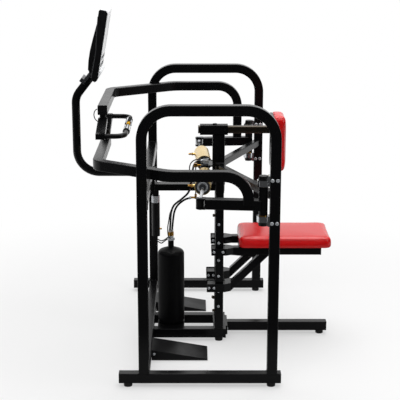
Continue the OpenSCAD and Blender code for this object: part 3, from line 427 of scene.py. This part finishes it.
for name, near, far in (("floor", edge, studioLook["floorBack"]),
                        ("frontFloor", studioLook["floorFront"], edge)):
    floorMesh = bpy.data.meshes.new(name)
    floorMesh.from_pydata([(-wide, near, 0), (wide, near, 0), (wide, far, 0), (-wide, far, 0)], [],
                          [(0, 1, 2, 3)])
    floorMesh.materials.append(floorPaint)
    floor = addPiece(name, floorMesh)
    floor.visible_glossy = near == edge  # the paper in front of the machine shows in no reflection

lampAim = Vector((0.0, 0.0, 0.8))
lamps = {
    "overheadSoftbox": {"place": (0.3, 0.6, 4.2), "size": 3.4, "power": 120},
    "sideSoftbox": {"place": (3.6, -1.6, 2.6), "size": 1.8, "power": 26},
    "frontFill": {"place": (-1.2, -4.6, 2.4), "size": 3.0, "power": 75, "glare": False},
}
for name, look in lamps.items():
    lampData = bpy.data.lights.new(name, "AREA")
    lampData.size = look["size"]
    lampData.energy = look["power"]
    lamp = bpy.data.objects.new(name, lampData)
    lamp.location = look["place"]
    lamp.visible_glossy = look.get("glare", True)  # the fill shows in no reflection
    lamp.rotation_euler = (lampAim - Vector(look["place"])).to_track_quat("-Z", "Y").to_euler()
    scene.collection.objects.link(lamp)
print("studio lit")

# The solids that stay keep their shape and get their finish
for part in frame["record"]["subparts"]:
    solid = nodes[part["node"]]
    solid.data.materials.clear()
    solid.data.materials.append(materials[part["material_slot"]])

# Cushions: foam under vinyl, swollen by a cloth run and flat on the back
cushions = {
    "seatCushion": {
        "node": "seat_pad", "body": "seat", "upAxis": 2,
        "panel": {"low": (207, 550), "high": (685, 588), "corner": 14}, "fill": 0.8,
    },
    "chestCushion": {
        "node": "chest_pad", "body": "chest", "upAxis": 0,
        "panel": {"low": (389, 954), "high": (429, 1236), "corner": 12}, "fill": 0.8,
    },
}
foamLook = {
    "shrink": 1.5,  # each pad starts this much smaller, because it swells
    "voxel": 4.2, "held": 3.0, "pressure": 2.0, "frames": 20, "mostSwell": 3.5, "evenRounds": 14,
    "tautFactor": 0.5, "tautRounds": 3,
}
weltLook = {"radius": 1.5, "ditch": 1.2, "spread": 4.5, "inset": 0.8}


def roundedLoop(low, high, corner, steps=6):
    points = []
    for k, (cx, cz) in enumerate([(high[0] - corner, high[1] - corner), (low[0] + corner, high[1] - corner),
                                  (low[0] + corner, low[1] + corner), (high[0] - corner, low[1] + corner)]):
        for i in range(steps + 1):
            angle = math.radians(90 * k + 90 * i / steps)
            points.append((cx + corner * math.cos(angle), cz + corner * math.sin(angle)))
    return points


def mergedCopy(node, name):
    mesh = nodes[node].data.copy()
    mesh.materials.clear()
    shell = bmesh.new()
    shell.from_mesh(mesh)
    bmesh.ops.remove_doubles(shell, verts=shell.verts, dist=1e-5)
    bmesh.ops.recalc_face_normals(shell, faces=shell.faces)
    shell.to_mesh(mesh)
    shell.free()
    return addPiece(name, mesh)


def evenMoves(mesh, moves):  # the swelling without its small creases, because the foam is firm
    joined = [[] for v in mesh.vertices]
    for edge in mesh.edges:
        a, b = edge.vertices
        joined[a].append(b)
        joined[b].append(a)
    for step in range(foamLook["evenRounds"]):
        moves = [sum((moves[j] for j in near), moves[i]) / (len(near) + 1)
                 for i, near in enumerate(joined)]
    return moves


def makeCushion(name, look):
    low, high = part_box(look["node"])
    pad = mergedCopy(look["node"], name)
    middle = (low + high) / 2
    axis = look["upAxis"]
    shrink = foamLook["shrink"] * mm
    for v in pad.data.vertices:
        for k in range(3):
            if k == axis:
                v.co[k] = low[k] + (v.co[k] - low[k]) * (1 - shrink / (high[k] - low[k]))
            else:
                v.co[k] = middle[k] + (v.co[k] - middle[k]) * (1 - 2 * shrink / (high[k] - low[k]))
    remesh = pad.modifiers.new("voxels", "REMESH")
    remesh.mode = "VOXEL"
    remesh.voxel_size = foamLook["voxel"] * mm
    keepResult(pad)
    start = [v.co.copy() for v in pad.data.vertices]
    held = pad.vertex_groups.new(name="held")
    backLayer = low[axis] + foamLook["held"] * mm
    held.add([v.index for v in pad.data.vertices if v.co[axis] < backLayer], 1.0, "REPLACE")
    cloth = pad.modifiers.new("cloth", "CLOTH")
    cloth.settings.use_pressure = True
    cloth.settings.uniform_pressure_force = foamLook["pressure"]
    cloth.settings.vertex_group_mass = "held"
    cloth.settings.effector_weights.gravity = 0.0
    cloth.point_cache.frame_start = 1
    cloth.point_cache.frame_end = foamLook["frames"]
    for step in range(1, foamLook["frames"] + 1):
        scene.frame_set(step)
    keepResult(pad)
    scene.frame_set(1)
    moves = evenMoves(pad.data, [v.co - was for v, was in zip(pad.data.vertices, start)])
    cap = foamLook["mostSwell"] * mm
    for v, was, move in zip(pad.data.vertices, start, moves):
        v.co = was + move * min(1.0, cap / max(move.length, 1e-9))
    pad.vertex_groups.clear()
    taut = pad.modifiers.new("taut", "SMOOTH")  # firm foam draws the vinyl smooth
    taut.factor = foamLook["tautFactor"]
    taut.iterations = foamLook["tautRounds"]
    soft = pad.modifiers.new("soft", "SUBSURF")
    soft.levels = soft.render_levels = 1
    keepResult(pad)
    pad.data.materials.clear()
    pad.data.materials.append(materials["red_vinyl"])
    pad.data.shade_smooth()
    return pad


def castLoop(pad, loop, side):  # the loop laid on the cushion's near or far side
    surface = BVHTree.FromObject(pad, bpy.context.evaluated_depsgraph_get())
    inward = Vector((0, -side, 0))
    return [surface.ray_cast(Vector((x * mm, side * 0.5, z * mm)), inward)[0] for x, z in loop]


def sewPanels(pad, look):  # each side panel's welt lies in a shallow ditch
    panel = look["panel"]
    loop = roundedLoop(panel["low"], panel["high"], panel["corner"], 10)
    spread, ditch = weltLook["spread"] * mm, weltLook["ditch"] * mm
    for side in (-1, 1):
        seam = sweepPiece("seamGuide", [[p / mm for p in castLoop(pad, loop, side)]], 0.2, 3, "red_vinyl",
                          sides=3, closed=True)
        guide = BVHTree.FromObject(seam, bpy.context.evaluated_depsgraph_get())
        for v in pad.data.vertices:
            inPanel = all(a < c / mm < b for a, b, c in zip(panel["low"], panel["high"], v.co.xz))
            if inPanel and v.co.y * side > 0:
                v.co.y -= side * weltLook["inset"] * mm  # the panel sits behind the rolled edge
            spot, normal, face, gap = guide.find_nearest(v.co, spread)
            if spot is not None:
                v.co.y -= side * ditch * (1 - (gap / spread) ** 2) ** 2
        bpy.data.objects.remove(seam)
    return [[p / mm for p in castLoop(pad, loop, side)] for side in (-1, 1)]


for name, look in cushions.items():
    pad = makeCushion(name, look)
    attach(pad, look["body"])
    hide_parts(look["node"])
    welts = sewPanels(pad, look)
    seam = sweepPiece(name + "Welts", welts, weltLook["radius"], 4, "red_vinyl", sides=8, closed=True)
    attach(seam, look["body"])
print("cushions stuffed")

# Button-head screws with a hexagon socket
headLook = {"segments": 24, "profile": [(0.5, 0.0), (0.5, 0.06), (0.47, 0.14), (0.4, 0.21), (0.3, 0.255)],
            "socket": 0.21, "depth": 0.12}


def makeHead():
    count = headLook["segments"]
    shell = bmesh.new()
    rings = []
    for radius, up in headLook["profile"]:
        rings.append([shell.verts.new((radius * math.cos(math.tau * i / count),
                                       radius * math.sin(math.tau * i / count), up)) for i in range(count)])
    top = headLook["profile"][-1][1]
    for up in (top, top - headLook["depth"]):
        ring = []
        for i in range(count):
            angle = math.tau * i / count
            slant = angle % (math.pi / 3) - math.pi / 6  # from the middle of the hexagon's side
            reach = headLook["socket"] / math.cos(slant) * math.cos(math.pi / 6)
            ring.append(shell.verts.new((reach * math.cos(angle), reach * math.sin(angle), up)))
        rings.append(ring)
    for lower, upper in zip(rings, rings[1:]):
        for i in range(count):
            j = (i + 1) % count
            shell.faces.new((lower[i], lower[j], upper[j], upper[i]))
    shell.faces.new(rings[-1])
    shell.faces.new(list(reversed(rings[0])))
    bmesh.ops.recalc_face_normals(shell, faces=shell.faces)
    mesh = bpy.data.meshes.new("buttonHead")
    shell.to_mesh(mesh)
    shell.free()
    return addPiece("buttonHead", mesh)


def setHeads(name, spots, slot, body, pattern, *replaced):  # spots: place in mm, facing, width in mm
    mesh = bpy.data.meshes.new(name)
    mesh.from_pydata([Vector(place) * mm for place, facing, width in spots], [], [])
    mesh.attributes.new("turn", "FLOAT_VECTOR", "POINT")
    mesh.attributes.new("size", "FLOAT", "POINT")
    for i, (place, facing, width) in enumerate(spots):
        mesh.attributes["turn"].data[i].vector = Vector(facing).to_track_quat("Z", "Y").to_euler()
        mesh.attributes["size"].data[i].value = width * mm
    piece = runTree(addPiece(name, mesh), headTree, {"Head": pattern, "Material": materials[slot]})
    smoothFaces(piece, 40)
    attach(piece, body)
    if replaced:
        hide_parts(*replaced)
    return piece


boltLook = {
    "bracketX": (328, 353), "bracketZ": (845, 1056), "bracketHead": 18,
    "screwX": 89, "screwZ": (201, 288, 375, 465, 562, 666), "screwHead": 15,
    "flangeX": (119, 141), "flangeY": 60,
    "forkSpots": ((-30, 517.5), (19, 517.5), (-56, 314), (-29, 314)), "forkReach": 43, "forkHead": 15,
}
buttonHead = makeHead()
frameSpots, seatSpots = [], []
for side in (-1, 1):
    sideY, postY = side * frameLook["sideY"], side * frameLook["postY"]
    for face in (-1, 1):
        frameSpots += [((x, sideY + face * frameLook["tube"] / 2, z), (0, face, 0), boltLook["bracketHead"])
                       for x in boltLook["bracketX"] for z in boltLook["bracketZ"]]
        seatSpots += [((frameLook["postX"] + dx, postY + face * boltLook["forkReach"], z), (0, face, 0),
                       boltLook["forkHead"]) for dx, z in boltLook["forkSpots"]]
    frameSpots += [((boltLook["screwX"], postY + side * frameLook["postWidth"] / 2, z), (0, side, 0),
                    boltLook["screwHead"]) for z in boltLook["screwZ"]]
    frameSpots += [((x, side * boltLook["flangeY"], frameLook["railZ"]), (facing, 0, 0),
                    boltLook["bracketHead"]) for x, facing in zip(boltLook["flangeX"], (-1, 1))]
setHeads("frameBoltHeads", frameSpots, "zinc", "frame", buttonHead, "frame_bolts")
setHeads("seatBoltHeads", seatSpots, "zinc", "seat", buttonHead, "seat_bolts")
bpy.data.objects.remove(buttonHead)


# Turned shapes: rings of a profile about an axis
def turnedMesh(shell, place, facing, profile, count=24):  # profile: (radius, along), in mm
    turn = Vector(facing).to_track_quat("Z", "Y")
    rings = []
    for radius, along in profile:
        ring = []
        for i in range(count):
            angle = math.tau * i / count
            spot = turn @ Vector((radius * math.cos(angle), radius * math.sin(angle), along))
            ring.append(shell.verts.new((Vector(place) + spot) * mm))
        rings.append(ring)
    for lower, upper in zip(rings, rings[1:]):
        for i in range(count):
            j = (i + 1) % count
            shell.faces.new((lower[i], lower[j], upper[j], upper[i]))
    shell.faces.new(rings[-1])
    shell.faces.new(list(reversed(rings[0])))


def turnedPiece(name, spots, slot, body):  # spots: place, facing, profile, and the number of sides
    shell = bmesh.new()
    for spot in spots:
        turnedMesh(shell, *spot)
    bmesh.ops.recalc_face_normals(shell, faces=shell.faces)
    mesh = bpy.data.meshes.new(name)
    shell.to_mesh(mesh)
    shell.free()
    mesh.materials.append(materials[slot])
    piece = addPiece(name, mesh)
    smoothFaces(piece, 35)
    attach(piece, body)
    return piece


stopLook = {
    "heights": (171, 246, 712),
    "profile": [(7.0, 0), (7.0, 4), (8.0, 5), (8.0, 12), (7.0, 14.2), (5.0, 15)],
}
turnedPiece("travelStops", [
    ((frameLook["postX"] - frameLook["postWidth"] / 2, side * frameLook["postY"], z), (-1, 0, 0),
     stopLook["profile"]) for side in (-1, 1) for z in stopLook["heights"]], "bare_steel", "frame")
print("bolts and stops fitted")

# Piston rods and fittings, measured along each air cylinder from its lever pin
cylinderLook = {
    "pins": {"near": (-15.5, -690, 932), "far": (-15.5, 690, 952)},
    "run": (30.5, 650),
    "shaft": [(7.4, 22), (8, 23), (8, 340)],
    "jamNut": [(12, 27), (13.4, 28), (13.4, 36), (12, 37)],
    "neck": [(11, 12), (11, 25), (9.5, 27)],
    "eye": [(18, -17), (20, -15.5), (20, 15.5), (18, 17)],
    "eyeSlots": {"near": "black_steel", "far": "cast_aluminium"},
    "gland": 322, "glandRing": [(27, 0), (27, 1.4), (25.5, 2.4), (22, 2.4), (20.5, 1.0)],
    "nipple": 352, "nippleNut": [(7.4, 51), (8.6, 52), (8.6, 57), (7.4, 58)],
    "barbs": [(4.5, 59), (5.8, 61), (4.7, 65), (5.8, 66), (4.7, 70), (5.6, 71), (4.2, 76.2)],
}
for side, mirror in (("near", 1), ("far", -1)):
    pin = Vector(cylinderLook["pins"][side])
    runX, runY = cylinderLook["run"]
    along = Vector((runX, mirror * runY, 0)).normalized()
    across = Vector((-runY, mirror * runX, 0)).normalized()
    rod = turnedPiece(side + "RodShaft", [(pin, along, cylinderLook["shaft"]),
                                          (pin, along, cylinderLook["jamNut"], 6)], "chrome", side + "_rod")
    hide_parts(side + "_rod")
    turnedPiece(side + "RodEye", [(pin, (0, 0, 1), cylinderLook["eye"]), (pin, along, cylinderLook["neck"])],
                cylinderLook["eyeSlots"][side], side + "_rod")
    mouth = pin + along * cylinderLook["gland"]
    turnedPiece(side + "GlandRing", [(mouth, -along, cylinderLook["glandRing"], 40)],
                "zinc", side + "_barrel")
    root = pin + along * cylinderLook["nipple"]
    turnedPiece(side + "Nipple", [(root, across, cylinderLook["nippleNut"], 6),
                                  (root, across, cylinderLook["barbs"])], "brass", side + "_barrel")

# Crimped ferrules on the thick hoses, and small plugs and screws
fittingLook = {
    "ferrule": [(6.0, -1), (7.2, 0), (7.2, 4), (6.6, 5), (7.2, 6), (7.2, 12), (6.2, 13)],
    "plug": [(9, 0), (9, 0.8), (6, 2.0)], "plugX": 23,
    "plateScrew": [(7, 0), (7, 1.5), (5, 3.6), (2.5, 3.8)], "plateX": -254, "plateZ": 38,
    "plateSides": {-1: -413, 1: 504},  # where each foot plate's outer face is
    "sleeveScrew": [(5, 0), (5, 0.8), (3.2, 1.4)], "sleevePlace": (121, 26.5, 1160),
}
ferrules = []
for size, points in hoseRoutes.values():
    if size == "thick":
        ends = [Vector(p) + Vector((frameLook["frontX"], 0, 0)) for p in points]
        ferrules += [(ends[0], ends[1] - ends[0], fittingLook["ferrule"]),
                     (ends[-1], ends[-2] - ends[-1], fittingLook["ferrule"])]
turnedPiece("hoseFerrules", ferrules, "zinc", "frame")
turnedPiece("railPlugs", [
    ((fittingLook["plugX"], side * frameLook["sideY"], frameLook["railTop"]), (0, 0, 1), fittingLook["plug"])
    for side in (-1, 1)], "black_plastic", "frame")
turnedPiece("plateScrews", [
    ((fittingLook["plateX"], y, fittingLook["plateZ"]), (0, side, 0), fittingLook["plateScrew"])
    for side, y in fittingLook["plateSides"].items()], "zinc", "frame")
sleeveX, sleeveY, sleeveZ = fittingLook["sleevePlace"]
turnedPiece("sleeveScrews", [
    ((sleeveX, side * sleeveY, sleeveZ), (0, side, 0), fittingLook["sleeveScrew"])
    for side in (-1, 1)], "black_steel", "frame")
print("cylinders and fittings dressed")

# Weld beads where the tubes meet
weldLook = {
    "radius": 2.6, "pitch": 3.2, "ripple": 0.22, "corner": 4,
    "bridgeY": 87.8,  # the posts' inner faces, where the bridges from the spine end
    "columnSize": (66, 64), "displayPost": 22, "displayPoints": 24,
}


def squareLoop(width, depth, place):  # place: two numbers in the loop's plane to a point
    return [place(u, v) for u, v in roundedLoop((-width / 2, -depth / 2), (width / 2, depth / 2),
                                                weldLook["corner"], 3)]


frameWelds = []
tube, postX, postWidth = frameLook["tube"], frameLook["postX"], frameLook["postWidth"]
frontX, railTop, railZ = frameLook["frontX"], frameLook["railTop"], frameLook["railZ"]
crossbarZ, spineZ = frameLook["crossbarZ"], frameLook["spineZ"]
spineWidth, spineHeight = frameLook["spineSize"]
for side in (-1, 1):
    sideY, postY = side * frameLook["sideY"], side * frameLook["postY"]
    for x in (frontX, frameLook["rearX"]):
        frameWelds.append(squareLoop(tube, tube, lambda u, v: (x + u, sideY + v, railTop)))
    for z in (railZ, crossbarZ):
        frameWelds.append(squareLoop(tube, tube, lambda u, v: (frontX + u, sideY - side * tube / 2, z + v)))
    frameWelds.append(squareLoop(tube, tube, lambda u, v: (frontX + tube / 2, postY + u, railZ + v)))
    frameWelds.append(squareLoop(postWidth, postWidth, lambda u, v: (postX + u, postY + v, railTop)))
    frameWelds.append(squareLoop(postWidth, spineHeight, lambda u, v: (
        postX + u, side * weldLook["bridgeY"], spineZ + v)))
frameWelds.append(squareLoop(*weldLook["columnSize"], lambda u, v: (
    frameLook["columnX"] + u, v, frameLook["spineTop"])))
frameWelds.append(squareLoop(spineWidth, spineHeight, lambda u, v: (frameLook["spineX"], u, spineZ + v)))
turns = [math.tau * i / weldLook["displayPoints"] for i in range(weldLook["displayPoints"])]
frameWelds.append([(frontX - tube / 2, weldLook["displayPost"] * math.cos(turn),
                    crossbarZ + weldLook["displayPost"] * math.sin(turn)) for turn in turns])
welds = sweepPiece("frameWelds", frameWelds, weldLook["radius"], weldLook["pitch"], "black_powder_coat",
                   ripple=weldLook["ripple"], sides=8, closed=True)
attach(welds, "frame")
print("welds laid")

# Display: the shell with rounded edges, then its trim and a painted edge highlight, drawn as profiles: x out
# of the front face, z up it
displayLook = {
    "rounding": 2.5, "place": (-541, 1466), "lean": 9.8, "half": 126, "lipHalf": 120,
    "hood": [(2.2, 316), (2.2, 323), (0.5, 329), (-4, 335), (-13, 338.2), (-41, 338.2), (-41, 336.2),
             (-13.6, 336.2), (-5.6, 332.2), (-0.2, 322.5), (0.3, 316)],
    "lip": [(1.5, 24), (11, 22), (13.5, 18), (12.5, 12), (4, -12), (0.5, -14)],
    "highlightStrip": [(-46, 300), (-43.6, 268), (-40, 220), (-35, 176), (-30, 131), (-31, 80), (-33, -16)],
    "highlightStripRadius": 2.4, "highlightStripHalf": 128.6,
    "keys": [(y, z) for z in (50, 88) for y in (-75, -25, 25, 75)],
    "keyFront": 2, "key": [(11, 0), (11, 0.6), (9.5, 1.4), (6, 1.1)],
}
shell = mergedCopy("display_housing", "displayShell")
flat = bmesh.new()
flat.from_mesh(shell.data)
bmesh.ops.dissolve_limit(flat, angle_limit=math.radians(1), verts=flat.verts, edges=flat.edges)
flat.to_mesh(shell.data)
flat.free()
rounding = shell.modifiers.new("rounding", "BEVEL")
rounding.width = displayLook["rounding"] * mm
rounding.segments = 3
rounding.limit_method = "ANGLE"
rounding.angle_limit = math.radians(40)
keepResult(shell)
shell.data.materials.clear()
shell.data.materials.append(materials["black_plastic"])
smoothFaces(shell, 35)
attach(shell, "frame")
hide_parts("display_housing")


def onDisplay(x, y, z):
    turn = math.radians(displayLook["lean"])
    left, base = displayLook["place"]
    return Vector((left + x * math.cos(turn) + z * math.sin(turn), y,
                   base - x * math.sin(turn) + z * math.cos(turn)))


def extrudedPiece(name, profile, half, slot):
    shell = bmesh.new()
    ends = [[shell.verts.new(onDisplay(x, y, z) * mm) for x, z in profile] for y in (-half, half)]
    for i in range(len(profile)):
        j = (i + 1) % len(profile)
        shell.faces.new((ends[0][i], ends[0][j], ends[1][j], ends[1][i]))
    for end in ends:
        shell.faces.new(end)
    bmesh.ops.recalc_face_normals(shell, faces=shell.faces)
    mesh = bpy.data.meshes.new(name)
    shell.to_mesh(mesh)
    shell.free()
    mesh.materials.append(materials[slot])
    piece = addPiece(name, mesh)
    smoothFaces(piece, 50)
    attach(piece, "frame")


extrudedPiece("overlayHood", displayLook["hood"], displayLook["half"], "pale_panel")
extrudedPiece("overlayLip", displayLook["lip"], displayLook["lipHalf"], "pale_panel")
# a lighter grey strip along the slab's rear side edges: a painted highlight where those edges catch the
# light, not a real gasket
highlightStripPaths = [[onDisplay(x, side * displayLook["highlightStripHalf"], z) for x, z in displayLook["highlightStrip"]]
               for side in (-1, 1)]
highlightStrip = sweepPiece("displayGasket", highlightStripPaths, displayLook["highlightStripRadius"], 6, "grey_anodised", sides=8)
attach(highlightStrip, "frame")
facing = onDisplay(1, 0, 0) - onDisplay(0, 0, 0)
turnedPiece("displayKeys", [(onDisplay(displayLook["keyFront"], y, z), facing, displayLook["key"])
                            for y, z in displayLook["keys"]], "grey_anodised", "frame")
print("display dressed")
